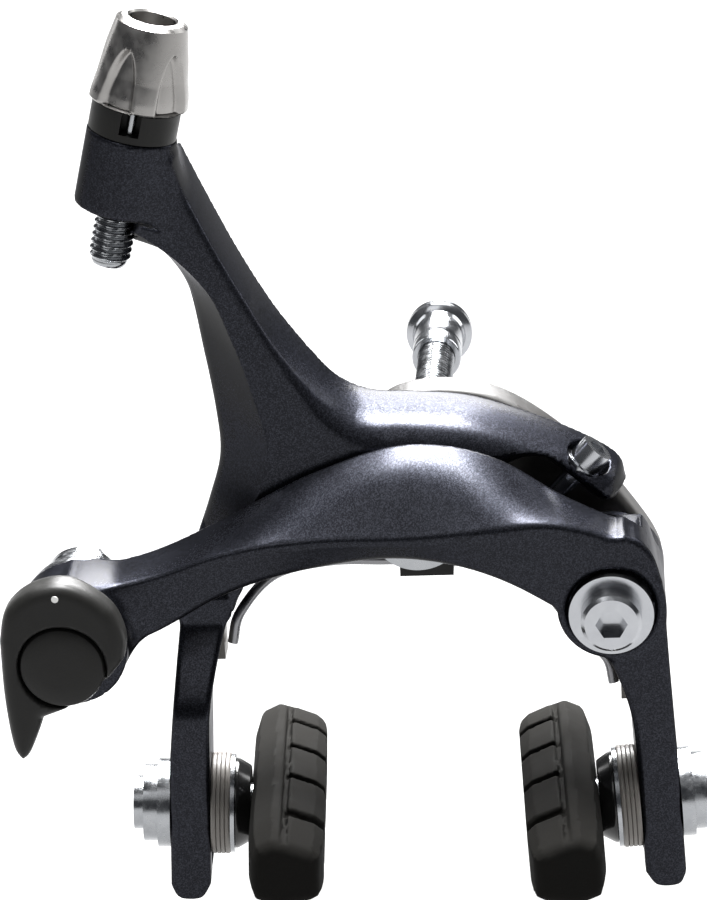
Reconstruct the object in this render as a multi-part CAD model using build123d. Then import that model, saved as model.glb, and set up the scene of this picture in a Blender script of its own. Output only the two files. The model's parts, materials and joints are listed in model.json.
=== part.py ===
from build123d import *
from math import cos, degrees, radians, tan
import os

os.makedirs("parts", exist_ok=True)

# Rim brake caliper, millimetres. +Z up, +Y to the rear along the mounting bolt.
# Origin: mounting bolt axis at the fork face (rear face of the serrated washer).

# Fore-and-aft planes
BRACKET_FRONT = -7.6
BRACKET_BACK = -1.6
ARM_BACK = -8.1
Y_ARM_FRONT = -18.6
Y_HUB_FRONT = -16.6
C_ARM_BACK = -19.5
LEG_FRONT = -27.0
C_LEG_FRONT = -26.4
LEG_BACK = -13.0
FIT = 0.05

# Centre pivot and mounting bolt
BOLT_R = 3.0
SHOULDER_R = 4.0
BUSH_R = 5.5
HUB_R = 7.5
BOLT_FRONT = -20.4
BOLT_END = 58.0
SLEEVE_R = 4.0
SLEEVE_FRONT = 51.0
SLEEVE_BACK = 62.0
SLEEVE_FLANGE_R = 5.45
SLEEVE_FLANGE_BACK = 64.2

# Side pivot
SIDE_X = 28.0
SIDE_Z = -10.0
SIDE_HUB_R = 9.0
SIDE_FRONT = -25.6
SIDE_FACE = -26.2
SIDE_HEAD_R = 4.35
SIDE_HEAD_FRONT = -31.4
SIDE_WASHER_R = 6.1

# Quick release and cable anchor at the left end of the front arm
QR_X = -50.0
QR_Z = -11.0
QR_BOSS_R = 8.6
QR_BOSS_FRONT = -33.6
QR_BOSS_BACK = -21.0
LEVER_FRONT = -39.6
LEVER_BACK = -34.0
CAP_R = 6.1
ECCENTRIC = 2.5
ANCHOR_Z = QR_Z + ECCENTRIC

# Cable adjuster, measured along its own tilted axis from ADJ_ORIGIN
ADJ_ORIGIN = (-38.5, -16.0, 55.0)
ADJ_TILT = 14.5
ADJ_BOSS = (-5.2, 6.2)
ADJ_BOSS_R = 6.4
COLLAR = (6.25, 10.4)
COLLAR_R = 6.3
BARREL = (10.5, 23.0)
BARREL_BASE_R = 7.1
BARREL_TOP_R = 4.7
CABLE_ENTRY_R = 3.3
CABLE_ENTRY_DEPTH = 8.0
CABLE_R = 1.1

# Legs, slots and shoes
LEG_T = 6.0
LEFT_X = -35.7
RIGHT_X = 34.1
LEFT_LEAN = 3.5
RIGHT_LEAN = 2.5
LEG_YAW = 3.2
SHOE_Y = -20.0
SHOE_Z = -43.0
SLOT_R = 3.2
SLOT_TRAVEL = 7.0
PAD_FACE = -20.0
SHOE_REAR = 24.0
SHOE_FRONT = 22.0
RIM_R = 300.0

# Centring screw, measured from its tip along its own axis
SCREW_TIP = (19.6, -13.5, 2.2)
SCREW_ANGLE = 48.0
SCREW_R = 1.5
PAD_LENGTH = 5.8
PAD_SLOPE = 19.25


# ---------------------------------------------------------------- helpers
def rod(x, z, front, back, r):
    return Pos(x, (front + back) / 2, z) * Rot(90, 0, 0) * Cylinder(r, back - front)


def tube(x, z, front, back, r_out, r_in):
    return rod(x, z, front, back, r_out) - rod(x, z, front - 1, back + 1, r_in)


def hex_rod(x, z, front, back, flats):
    face = Plane.XZ * RegularPolygon(flats / 2, 6, major_radius=False)
    return Pos(x, back, z) * extrude(face, back - front)


def block(x0, x1, y0, y1, z0, z1):
    centre = ((x0 + x1) / 2, (y0 + y1) / 2, (z0 + z1) / 2)
    return Pos(*centre) * Box(x1 - x0, y1 - y0, z1 - z0)


def edge_run(points, y):
    run = [(x, y, z) for x, z in points]
    return Line(*run) if len(run) == 2 else Spline(*run)


def slab(runs, front, back):
    wire = Wire([edge_run(run, front) for run in runs])
    return extrude(Face(wire), back - front, dir=(0, 1, 0))


def leg_slab(runs, front, back):
    """A slab whose outline holds at SHOE_Y and whose sides run along the yawed leg."""
    turn = tan(radians(LEG_YAW))
    middle = Wire([edge_run(run, SHOE_Y) for run in runs])
    face = Pos((SHOE_Y - front) * turn, front - SHOE_Y, 0) * Face(middle)
    length = (back - front) / cos(radians(LEG_YAW))
    return extrude(face, length, dir=(-turn, 1, 0))


def section(x, points, r):
    flat = Polygon(*points, align=None)
    rounded = fillet(flat.vertices(), r)
    return Plane((x, 0, 0), x_dir=(0, 1, 0), z_dir=(1, 0, 0)) * rounded


def side_rod(x0, x1, r):
    return Pos((x0 + x1) / 2, 0, 0) * Rot(0, 90, 0) * Cylinder(r, x1 - x0)


def side_tube(x0, x1, r_out, r_in):
    return side_rod(x0, x1, r_out) - side_rod(x0 - 1, x1 + 1, r_in)


def on_adjuster(shape):
    return Pos(*ADJ_ORIGIN) * Rot(0, ADJ_TILT, 0) * shape


def adj_rod(span, r):
    return Pos(0, 0, (span[0] + span[1]) / 2) * Cylinder(r, span[1] - span[0])


def on_screw(shape):
    return Pos(*SCREW_TIP) * Rot(0, 90 - SCREW_ANGLE, 0) * shape


def on_leg(shape, side):
    """Leg frame: +X outward through the slot, origin on the shoe axis in the leg's middle plane."""
    if side == "right":
        turned = Rot(0, 0, LEG_YAW) * Rot(0, -RIGHT_LEAN, 0) * shape
        return Pos(RIGHT_X, SHOE_Y, SHOE_Z) * turned
    turned = Rot(0, 0, LEG_YAW) * Rot(0, LEFT_LEAN, 0) * mirror(shape, about=Plane.YZ)
    return Pos(LEFT_X, SHOE_Y, SHOE_Z) * turned


def leg_edge(side, z, offset):
    """A point on the leg's face, offset to +X from its leaning middle line."""
    x0, lean = (RIGHT_X, RIGHT_LEAN) if side == "right" else (LEFT_X, -LEFT_LEAN)
    return x0 + (SHOE_Z - z) * tan(radians(lean)) + offset / cos(radians(lean)), z


def slot_cutter(side):
    top = side_rod(-LEG_T, LEG_T, SLOT_R)
    low = Pos(0, 0, -SLOT_TRAVEL) * top
    mid = block(-LEG_T, LEG_T, -SLOT_R, SLOT_R, -SLOT_TRAVEL, 0)
    return on_leg(top + low + mid, side)


# ---------------------------------------------------------------- fixed parts
def mounting_bolt():
    shaft = rod(0, 0, BOLT_FRONT, BOLT_END, BOLT_R)
    return shaft + rod(0, 0, Y_HUB_FRONT - 0.1, BRACKET_BACK - FIT, SHOULDER_R)


def sleeve_nut():
    body = rod(0, 0, SLEEVE_FRONT, SLEEVE_BACK, SLEEVE_R)
    body += rod(0, 0, SLEEVE_BACK, SLEEVE_FLANGE_BACK, SLEEVE_FLANGE_R)
    body -= rod(0, 0, SLEEVE_FRONT - 1, BOLT_END + 0.6, BOLT_R + FIT)
    return body - hex_rod(0, 0, BOLT_END + 0.5, SLEEVE_FLANGE_BACK + 1, 5.0)


def pivot_bracket():
    top = [(-9, -1), (-8.6, 8), (-5, 15), (1, 17.3), (8, 17), (14, 14.8), (20, 10.6), (26, 5)]
    right = [(26, 5), (30.5, -1), (34.6, -7.5), (35.6, -12), (34.2, -17), (30, -19.3)]
    low = [(30, -19.3), (25, -18.4), (18, -13), (11, -9.6), (4, -8.6), (-4, -8), (-9, -1)]
    plate = slab([top, right, low], BRACKET_FRONT, BRACKET_BACK)
    plate -= rod(0, 0, BRACKET_FRONT - 1, 1, SHOULDER_R + FIT)
    return plate - rod(SIDE_X, SIDE_Z, BRACKET_FRONT - 1, 1, BOLT_R + FIT)


def serrated_washer():
    disc = tube(0, 0, BRACKET_BACK + 0.02, 0, 8.5, BOLT_R + FIT)
    for i in range(12):
        notch = block(6.4, 9, -0.5, 1, -0.35, 0.35)
        disc -= Rot(0, i * 30, 0) * notch
    return disc


def centre_nut():
    nut = hex_rod(0, 0, -20.2, -17.4, 8.0)
    return nut - rod(0, 0, -21, -17, BOLT_R + FIT)


def side_pivot_bolt():
    bolt = rod(SIDE_X, SIDE_Z, SIDE_HEAD_FRONT + 3.2, BRACKET_BACK - 0.1, BOLT_R)
    head = rod(SIDE_X, SIDE_Z, SIDE_HEAD_FRONT, SIDE_HEAD_FRONT + 3.2, SIDE_HEAD_R)
    head = chamfer(head.edges().sort_by(Axis.Y)[0], 0.5)
    socket = hex_rod(SIDE_X, SIDE_Z, SIDE_HEAD_FRONT - 1, SIDE_HEAD_FRONT + 2.4, 4.0)
    return bolt + head - socket


def spring_holder():
    body = block(-3.5, 4.5, -7.4, -2.2, -12.4, -8.9)
    body -= Pos(0.5, -5, -10.6) * Rot(0, 90, 0) * Cylinder(1.2, 30)
    return body - pivot_bracket()


def return_spring():
    left = [(-28.4, -15, -19), (-27, -14.2, -14.4), (-22, -10.4, -10.2), (-14, -6.8, -9.8), (-6, -5.1, -10.6)]
    right = [(7, -5.6, -11.2), (12, -9.6, -10.8), (17, -11.2, -12), (20.4, -11.6, -16.4)]
    end = [(23.6, -12.6, -20.2), (27, -14.2, -23.4), (27.9, -15, -27)]
    path = Spline(*left, (0.5, -5, -10.7), *right, *end)
    return sweep(Plane(path @ 0, z_dir=path % 0) * Circle(0.8), path=path)


def spring_seat(side):
    """Plastic rest let onto the inner face of a leg, under the spring's end."""
    if side == "left":
        return block(-30.9, -29.35, -17.4, -13.2, -20.6, -15.4)
    return block(28.95, 30.6, -17.4, -13.2, -28.6, -23.6)


# ---------------------------------------------------------------- rear arm (carries the adjuster)
def y_arm_back_layer():
    left = [(-39.6, 45.6), (-35, 41.2), (-31.8, 36), (-30.2, 26), (-29, 16)]
    left += [(-28.9, 9), (-31, 2), (-33.9, -6)]
    outer = [(-33.9, -6), (-35.2, -13), (-36.4, -20)]
    bottom = [(-36.4, -20), (-30.4, -20)]
    inner = [(-30.4, -20), (-29, -16), (-26.4, -10.5), (-22, -5.6), (-15, -4.2), (-6, -4)]
    close = [(-6, -4), (-12, 20)]
    top = [(-12, 20), (-17.5, 28), (-22.4, 36.9), (-26.2, 44.4), (-30.6, 54)]
    end = [(-30.6, 54), (-39.6, 45.6)]
    return slab([left, outer, bottom, inner, close, top, end], -14.2, ARM_BACK)


def y_arm_front_layer():
    left = [(-38.6, 47.6), (-33, 43.4), (-28.4, 38.4), (-24.8, 30), (-22.2, 21)]
    left += [(-20.8, 14), (-22.4, 7), (-26, 0), (-28, -6)]
    low = [(-28, -6), (-22, -5.4), (-12, -3.6), (-4, -4), (2, -5)]
    under = [(2, -5), (8, 1.5), (13, 6.6), (18, 8.2), (22, 5), (26, 1.6), (29, 1.3), (30.6, 3.4)]
    top = [(30.6, 3.4), (29.4, 7), (24, 10.6), (16, 14.2), (8, 16.9)]
    top += [(0, 17.8), (-6, 18.2), (-11, 20.6), (-15, 25.2)]
    right = [(-15, 25.2), (-19.5, 31.8), (-24, 40.2), (-28, 49), (-31.4, 57)]
    end = [(-31.4, 57), (-38.6, 47.6)]
    body = slab([left, low, under, top, right, end], Y_ARM_FRONT, ARM_BACK)
    return body - rod(0, 0, Y_ARM_FRONT - 1, Y_HUB_FRONT, 9.2)


def y_arm_leg():
    outer_top, inner_top = leg_edge("left", -34, -LEG_T / 2), leg_edge("left", -34, LEG_T / 2)
    outer_end, inner_end = leg_edge("left", -53.6, -LEG_T / 2), leg_edge("left", -53.6, LEG_T / 2)
    outer = [(-35.2, -13), (-36.4, -20), (-37.4, -27), outer_top]
    outer_low = [outer_top, outer_end]
    foot = [outer_end, (-38.2, -55.7), (-35, -55.8), inner_end]
    inner_low = [inner_end, inner_top]
    inner = [inner_top, (-31.5, -26), (-30.4, -20), (-28, -13)]
    close = [(-28, -13), (-35.2, -13)]
    leg = leg_slab([outer, outer_low, foot, inner_low, inner, close], LEG_FRONT, LEG_BACK)
    wedge = Polygon((-40, -13), (Y_ARM_FRONT, -13), (-26.9, -22), (-26.9, -30), (-40, -30), align=None)
    plane = Plane((-60, 0, 0), x_dir=(0, 1, 0), z_dir=(1, 0, 0))
    return leg - extrude(plane * wedge, 60)


def screw_spotface():
    return on_screw(Pos(0, 0, 6.45 + 5) * Cylinder(3.3, 10))


def y_arm():
    arm = y_arm_back_layer() + y_arm_front_layer() + y_arm_leg()
    arm += rod(0, 0, Y_HUB_FRONT, ARM_BACK, HUB_R)
    arm += on_adjuster(adj_rod(ADJ_BOSS, ADJ_BOSS_R))
    arm -= on_adjuster(adj_rod((-20, 20), 3.0 + FIT))
    arm -= rod(0, 0, -20, 0, BUSH_R + FIT)
    arm -= slot_cutter("left")
    arm -= screw_spotface() + spring_seat("left")
    return arm - on_screw(Pos(0, 0, 4) * Cylinder(SCREW_R + FIT, 12))


def adjuster_collar():
    body = on_adjuster(adj_rod(COLLAR, COLLAR_R) - adj_rod((0, 20), 3.0 + FIT))
    return body - on_adjuster(block(-1.4, 1.4, -8, -3.9, COLLAR[0] + 1, COLLAR[1] + 1))


def detent_pin():
    return on_adjuster(Pos(0, -4.6, COLLAR[0] + 2.6) * Cylinder(0.6, 2.9))


def barrel_nut():
    low = Pos(0, 0, BARREL[0]) * Circle(BARREL_BASE_R)
    mid = Pos(0, 0, BARREL[0] + 4) * Circle(BARREL_BASE_R - 0.3)
    top = Pos(0, 0, BARREL[1]) * Circle(BARREL_TOP_R)
    body = loft([low, mid, top])
    body -= adj_rod((BARREL[1] - CABLE_ENTRY_DEPTH, BARREL[1] + 1), CABLE_ENTRY_R)
    body -= adj_rod((BARREL[0] - 1, BARREL[1]), 3.0 + FIT)
    for i in range(5):
        flute = Pos(BARREL_BASE_R + 1.3, 0, BARREL[0] + 3) * Rot(0, -8, 0) * Cylinder(2.4, 9)
        body -= Rot(0, 0, 18 + 72 * i) * flute
    return on_adjuster(body)


def adjusting_bolt():
    span = (-13.8, BARREL[1] - CABLE_ENTRY_DEPTH - 1.3)
    return on_adjuster(adj_rod(span, 3.0) - adj_rod((-20, 30), CABLE_R))


def centring_screw():
    tip = Pos(0, 0, 1.5) * Sphere(SCREW_R)
    shank = Pos(0, 0, 4) * Cylinder(SCREW_R, 5)
    flange = Pos(0, 0, 6.9) * Cylinder(2.9, 0.8)
    head = Pos(0, 0, 8.9) * Cylinder(2.45, 3.3)
    socket = extrude(Pos(0, 0, 8.8) * RegularPolygon(1.25, 6, major_radius=False), 4)
    return on_screw(tip + shank + flange + head - socket)


# ---------------------------------------------------------------- front arm
C_SECTIONS = [
    (-49, (-20.9, -3.2), (-25, -2.6), (-30.4, -3.2), (-30.4, -14.5), (-21.2, -14.5)),
    (-38, (-20.4, -0.8), (-24.5, -0.4), (-29.5, -1.6), (-28.5, -11.3), (-20.8, -10.6)),
    (-28, (-19.8, 3.6), (-24, 3.4), (-29.4, 1.4), (-27.3, -6.3), (-20.3, -5.6)),
    (-14, (-19.5, 10.3), (-23.6, 9.4), (-29.8, 3.0), (-27.2, -2.2), (-19.8, -1.6)),
    (0, (-19.5, 14.2), (-23.8, 12.6), (-30.2, 3.0), (-27.4, -1.2), (-19.8, -0.8)),
    (12, (-19.5, 11.8), (-24, 10.4), (-30.2, 4.2), (-27.4, -4.6), (-19.8, -4.2)),
    (21, (-19.5, 6.2), (-23.6, 6.0), (-28.4, 4.4), (-26.6, -10.4), (-19.8, -10.4)),
    (29, (-19.5, 1.8), (-23, 2.4), (-26.6, 1.4), (-26.2, -16.5), (-19.8, -16.5)),
]


def c_arm_leg():
    top = [(24, -2), (29, 1), (33, 1.6), (35.4, -1.5)]
    outer_top, inner_top = leg_edge("right", -34, LEG_T / 2), leg_edge("right", -34, -LEG_T / 2)
    outer_end, inner_end = leg_edge("right", -53.2, LEG_T / 2), leg_edge("right", -53.2, -LEG_T / 2)
    outer = [(35.4, -1.5), (35.6, -9), (35.9, -20), outer_top]
    outer_low = [outer_top, outer_end]
    foot = [outer_end, (36.4, -55.2), (33.2, -55.3), inner_end]
    inner_low = [inner_end, inner_top]
    inner = [inner_top, (30.2, -28), (28.8, -22.5), (26.2, -16.5), (22, -11)]
    close = [(22, -11), (24, -2)]
    leg = leg_slab([top, outer, outer_low, foot, inner_low, inner, close], C_LEG_FRONT, LEG_BACK)
    return leg - block(20, 32.2, -19, -10, -0.6, 5)


def contact_tab():
    outline = [[(14, -6), (14, 2.4)], [(14, 2.4), (15, 3.1)], [(15, 3.1), (22.4, 0.5)]]
    outline += [[(22.4, 0.5), (23.5, -6)], [(23.5, -6), (14, -6)]]
    return slab(outline, -22, -10.5)


def pad_seat(grow):
    """Plastic contact pad: a plate let into the tab's sloping top and standing proud of it."""
    plate = Box(PAD_LENGTH + grow, 5 + grow, 2.4 + grow)
    return Pos(18.2, -13.5, 1.17) * Rot(0, PAD_SLOPE, 0) * plate


def c_arm():
    arm = loft([section(s[0], s[1:], 1.2) for s in C_SECTIONS])
    arm += c_arm_leg() + contact_tab()
    arm += rod(QR_X, QR_Z, QR_BOSS_FRONT, QR_BOSS_BACK, QR_BOSS_R)
    arm += rod(SIDE_X, SIDE_Z, SIDE_FACE, ARM_BACK, SIDE_HUB_R - 1.2)
    arm -= rod(0, 0, -21.2, -10, 8.2)
    arm -= rod(QR_X, QR_Z, QR_BOSS_BACK, -10, QR_BOSS_R)
    arm -= rod(SIDE_X, SIDE_Z, -40, SIDE_FRONT, SIDE_WASHER_R + 0.4)
    arm -= rod(SIDE_X, SIDE_Z, -40, 0, BUSH_R - 0.5 + FIT)
    arm -= rod(QR_X, QR_Z, -40, -10, 5.0 + FIT)
    arm -= pad_seat(0.1) + spring_seat("right")
    return arm - slot_cutter("right")


def lever_outline():
    top = [(-41.2, -10.4), (-40.8, -7), (-42.4, -2.6), (-46.4, 0.8)]
    top += [(-50, 1.8), (-54.4, 0.6), (-57.6, -2.4), (-58.8, -7)]
    left = [(-58.8, -7), (-58.9, -16), (-58.3, -23.4), (-57.2, -26)]
    tip = [(-57.2, -26), (-56, -25), (-54.4, -21.6), (-53.5, -19.2)]
    right = [(-53.5, -19.2), (-49, -17.4), (-44.7, -14.4), (-41.2, -10.4)]
    return [top, left, tip, right]


def qr_lever():
    body = slab(lever_outline(), LEVER_FRONT, LEVER_BACK)
    return body - rod(QR_X, QR_Z, LEVER_FRONT - 1, -37.4, CAP_R + 0.25)


def qr_cap():
    return rod(QR_X, QR_Z, LEVER_FRONT - 0.3, -37.45, CAP_R)


def qr_shaft():
    body = rod(QR_X, QR_Z, LEVER_BACK + FIT, -20.9, 5.0)
    body += rod(QR_X, QR_Z, -20.9, -18.9, 8.2)
    return body - rod(QR_X, ANCHOR_Z, -27, -10, 2.5 + FIT)


def qr_mark():
    return rod(-50, -0.1, LEVER_FRONT - 0.1, LEVER_FRONT + 0.4, 0.5) - qr_lever()


def anchor_bolt():
    body = rod(QR_X, ANCHOR_Z, -26, -14.9, 2.5)
    head = hex_rod(QR_X, ANCHOR_Z, -14.9, -11.6, 8.0)
    return body + head


def clamp_washer():
    body = tube(QR_X, ANCHOR_Z, -16.9, -14.95, 5.6, 2.5 + FIT)
    groove = Pos(QR_X - 3.9, -17.0, ANCHOR_Z) * Rot(0, ADJ_TILT, 0) * Cylinder(0.8, 30)
    return body - groove


def clamp_plate():
    return tube(QR_X, ANCHOR_Z, -18.8, -17.0, 5.6, 2.5 + FIT)


# ---------------------------------------------------------------- shoe hardware, in the leg frame
def outer_washer():
    return side_tube(LEG_T / 2 + FIT, 4.95, 6.65, 3.1)


def shoe_nut():
    body = side_rod(5.0, 7.1, 5.75) + side_rod(7.0, 8.6, 4.0)
    body -= side_rod(4, 6.85, 3.0 + FIT)
    face = Plane((6.8, 0, 0), x_dir=(0, 1, 0), z_dir=(1, 0, 0))
    return body - extrude(face * RegularPolygon(2.5, 6, major_radius=False), 5)


def inner_spacer():
    return side_tube(-5.85, -LEG_T / 2 - FIT, 7.6, 3.1)


def spacer_ring():
    return side_tube(-6.5, -5.9, 7.4, 3.1)


def dished_washer():
    large = Plane((-6.55, 0, 0), x_dir=(0, 1, 0), z_dir=(-1, 0, 0)) * Circle(6.8)
    small = Plane((-8.9, 0, 0), x_dir=(0, 1, 0), z_dir=(-1, 0, 0)) * Circle(5.6)
    return loft([large, small]) - side_rod(-10, -5, 3.1)


def shoe_stud():
    return side_rod(-14.5, 6.75, 3.0)


def shoe():
    profile = [(-20, -3.8), (-20, 3.6), (-18.4, 4.6), (-12.5, 6.6), (-9.6, 5.2), (-8.95, 2.5)]
    profile += [(-8.95, -2.5), (-9.6, -4.6), (-13.5, -6), (-18.4, -4.8)]
    face = Face(Polyline([(x, 0, z) for x, z in profile], close=True))
    whole = degrees((SHOE_REAR + SHOE_FRONT) / RIM_R)
    swung = Pos(0, 0, -RIM_R) * Rot(degrees(SHOE_FRONT / RIM_R), 0, 0) * Pos(0, 0, RIM_R) * face
    axis = Axis((0, 0, -RIM_R), (-1, 0, 0))
    body = revolve(swung, axis, revolution_arc=whole)
    for y in (-2.5, 7.3, 16.2):
        body -= block(-21, -18.9, y - 0.6, y + 0.6, -8, 8)
    return body - side_rod(-14.6, 0, 3.0 + FIT)


# ---------------------------------------------------------------- export
def exports():
    bush = BUSH_R - 0.5
    nodes = {
        "mounting_bolt": mounting_bolt(),
        "sleeve_nut": sleeve_nut(),
        "pivot_bracket": pivot_bracket(),
        "serrated_washer": serrated_washer(),
        "centre_washer": tube(0, 0, -17.35, Y_HUB_FRONT - 0.1, 7.0, BOLT_R + FIT),
        "centre_nut": centre_nut(),
        "centre_thrust_washer": tube(0, 0, ARM_BACK + FIT, BRACKET_FRONT - FIT, 7.2, SHOULDER_R + FIT),
        "side_thrust_washer": tube(SIDE_X, SIDE_Z, ARM_BACK + FIT, BRACKET_FRONT - FIT, 7.2, BOLT_R + FIT),
        "side_pivot_bolt": side_pivot_bolt(),
        "side_pivot_washer": tube(SIDE_X, SIDE_Z, -28.15, SIDE_FRONT - FIT, SIDE_WASHER_R, BOLT_R + FIT),
        "spring_holder": spring_holder(),
        "return_spring": return_spring(),
        "y_arm": y_arm(),
        "centre_bush": tube(0, 0, Y_HUB_FRONT, ARM_BACK, BUSH_R, SHOULDER_R + FIT),
        "left_spring_seat": spring_seat("left"),
        "adjuster_collar": adjuster_collar(),
        "detent_pin": detent_pin(),
        "barrel_nut": barrel_nut(),
        "adjusting_bolt": adjusting_bolt(),
        "centring_screw": centring_screw(),
        "c_arm": c_arm(),
        "side_bush": tube(SIDE_X, SIDE_Z, SIDE_FRONT, ARM_BACK, bush, BOLT_R + FIT),
        "contact_pad": pad_seat(0),
        "right_spring_seat": spring_seat("right"),
        "qr_lever": qr_lever(),
        "qr_cap": qr_cap(),
        "qr_mark": qr_mark(),
        "qr_shaft": qr_shaft(),
        "anchor_bolt": anchor_bolt(),
        "clamp_washer": clamp_washer(),
        "clamp_plate": clamp_plate(),
    }
    hardware = {
        "outer_washer": outer_washer,
        "shoe_nut": shoe_nut,
        "inner_spacer": inner_spacer,
        "spacer_ring": spacer_ring,
        "dished_washer": dished_washer,
        "shoe_stud": shoe_stud,
        "shoe": shoe,
    }
    for name, build in hardware.items():
        for side in ("left", "right"):
            nodes[f"{side}_{name}"] = on_leg(build(), side)
    return nodes


for node, shape in exports().items():
    export_step(shape, f"parts/{node}.step")
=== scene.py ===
import json
import math

import bpy
import numpy as np
from mathutils import Matrix, Vector

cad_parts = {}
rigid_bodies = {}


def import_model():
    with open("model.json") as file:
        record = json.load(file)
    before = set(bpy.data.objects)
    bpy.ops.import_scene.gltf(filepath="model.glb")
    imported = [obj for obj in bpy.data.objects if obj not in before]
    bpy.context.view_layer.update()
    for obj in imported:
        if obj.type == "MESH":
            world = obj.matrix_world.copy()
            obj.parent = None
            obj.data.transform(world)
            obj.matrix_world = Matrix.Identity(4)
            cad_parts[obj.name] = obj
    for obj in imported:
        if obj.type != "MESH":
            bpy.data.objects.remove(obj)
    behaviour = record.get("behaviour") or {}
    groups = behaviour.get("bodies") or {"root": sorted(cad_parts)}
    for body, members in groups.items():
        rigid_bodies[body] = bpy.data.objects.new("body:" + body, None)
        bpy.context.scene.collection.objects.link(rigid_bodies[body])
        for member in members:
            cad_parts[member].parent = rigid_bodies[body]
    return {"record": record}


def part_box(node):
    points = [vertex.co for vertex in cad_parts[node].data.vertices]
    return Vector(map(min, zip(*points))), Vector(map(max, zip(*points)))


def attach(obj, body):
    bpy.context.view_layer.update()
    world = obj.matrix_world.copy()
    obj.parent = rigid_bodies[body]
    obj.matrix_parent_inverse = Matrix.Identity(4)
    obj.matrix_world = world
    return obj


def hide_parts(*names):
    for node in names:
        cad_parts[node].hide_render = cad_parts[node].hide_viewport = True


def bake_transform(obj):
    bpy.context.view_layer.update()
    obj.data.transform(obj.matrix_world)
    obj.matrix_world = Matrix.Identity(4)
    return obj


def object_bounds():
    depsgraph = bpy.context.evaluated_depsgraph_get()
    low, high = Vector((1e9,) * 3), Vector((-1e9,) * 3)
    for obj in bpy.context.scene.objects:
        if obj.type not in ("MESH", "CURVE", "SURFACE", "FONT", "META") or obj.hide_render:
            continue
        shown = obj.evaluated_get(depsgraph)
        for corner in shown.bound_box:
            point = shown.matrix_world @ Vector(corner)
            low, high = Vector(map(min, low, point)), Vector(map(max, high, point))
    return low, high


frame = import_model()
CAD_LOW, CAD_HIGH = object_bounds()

MM = 0.001
PI2 = 2 * math.pi


# ------------------------------------------------------------ small geometry tools
def box_mm(node):
    low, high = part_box(node)
    return np.array(low) / MM, np.array(high) / MM


def curve_points(points, per=8):
    """Catmull-Rom points through a few design points."""
    p = np.array(points, float)
    ends = np.vstack([2 * p[0] - p[1], p, 2 * p[-1] - p[-2]])
    t = np.linspace(0, 1, per, endpoint=False)[:, None]
    out = []
    for a, b, c, d in zip(ends, ends[1:], ends[2:], ends[3:]):
        square, cube = 2 * a - 5 * b + 4 * c - d, 3 * b - a - 3 * c + d
        out.append(0.5 * (2 * b + (c - a) * t + square * t**2 + cube * t**3))
    return np.vstack(out + [p[-1:]])


def outline(*runs):
    pieces = [curve_points(r)[:-1] if len(r) > 2 else np.array(r[:1], float) for r in runs]
    return np.vstack(pieces)


def smooth_interp(u, xs, ys):
    """Cubic interpolation of design values along a path."""
    xs, ys = np.array(xs, float), np.array(ys, float)
    slopes = np.gradient(ys, xs)
    u = np.clip(u, xs[0], xs[-1])
    i = np.clip(np.searchsorted(xs, u) - 1, 0, len(xs) - 2)
    h = xs[i + 1] - xs[i]
    t = (u - xs[i]) / h
    a = (2 * t**3 - 3 * t**2 + 1) * ys[i] + (t**3 - 2 * t**2 + t) * h * slopes[i]
    return a + (-2 * t**3 + 3 * t**2) * ys[i + 1] + (t**3 - t**2) * h * slopes[i + 1]


def poly_distance(x, z, poly):
    """Signed distance to a closed outline, negative inside."""
    best = np.full(x.shape, 1e9)
    inside = np.zeros(x.shape, bool)
    for (ax, az), (bx, bz) in zip(poly, np.roll(poly, -1, 0)):
        ex, ez = bx - ax, bz - az
        wx, wz = x - ax, z - az
        t = np.clip((wx * ex + wz * ez) / (ex * ex + ez * ez + 1e-12), 0, 1)
        best = np.minimum(best, (wx - ex * t) ** 2 + (wz - ez * t) ** 2)
        crosses = (az > z) != (bz > z)
        inside ^= crosses & (x < (z - az) * ex / (ez if abs(ez) > 1e-9 else 1e-9) + ax)
    return np.where(inside, -1, 1) * np.sqrt(best)


def smin(a, b, k):
    h = np.maximum(k - np.abs(a - b), 0) / k
    return np.minimum(a, b) - h * h * k / 4


def smax(a, b, k):
    return -smin(-a, -b, k)


def rod_distance(p, point, axis, r, low, high, k=0.3):
    """A round bar along an axis, between two distances from its point."""
    axis = np.array(axis, float) / np.linalg.norm(axis)
    w = p - np.array(point, float)
    s = w @ axis
    radial = np.sqrt(np.maximum((w * w).sum(1) - s * s, 0))
    return smax(radial - r, np.abs(s - (low + high) / 2) - (high - low) / 2, k)


def y_rod(p, x, z, r, front, back, k=0.3):
    return rod_distance(p, (x, 0, z), (0, 1, 0), r, front, back, k)


def slab_distance(p, poly, front, back, k=0.8):
    flat = poly_distance(p[:, 0], p[:, 2], poly)
    return smax(flat, np.abs(p[:, 1] - (front + back) / 2) - (back - front) / 2, k)


def box_distance(p, low, high, k=0.3):
    centre, half = (np.array(low) + high) / 2, (np.array(high) - low) / 2
    q = np.abs(p - centre) - half
    return smax(smax(q[:, 0], q[:, 1], k), q[:, 2], k)


# ------------------------------------------------------------ surfaces from distance fields
def gradient(field, p, h=0.02):
    g = np.empty_like(p)
    for i in range(3):
        step = np.zeros(3)
        step[i] = h
        g[:, i] = field(p + step) - field(p - step)
    return g / (2 * h)


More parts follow.
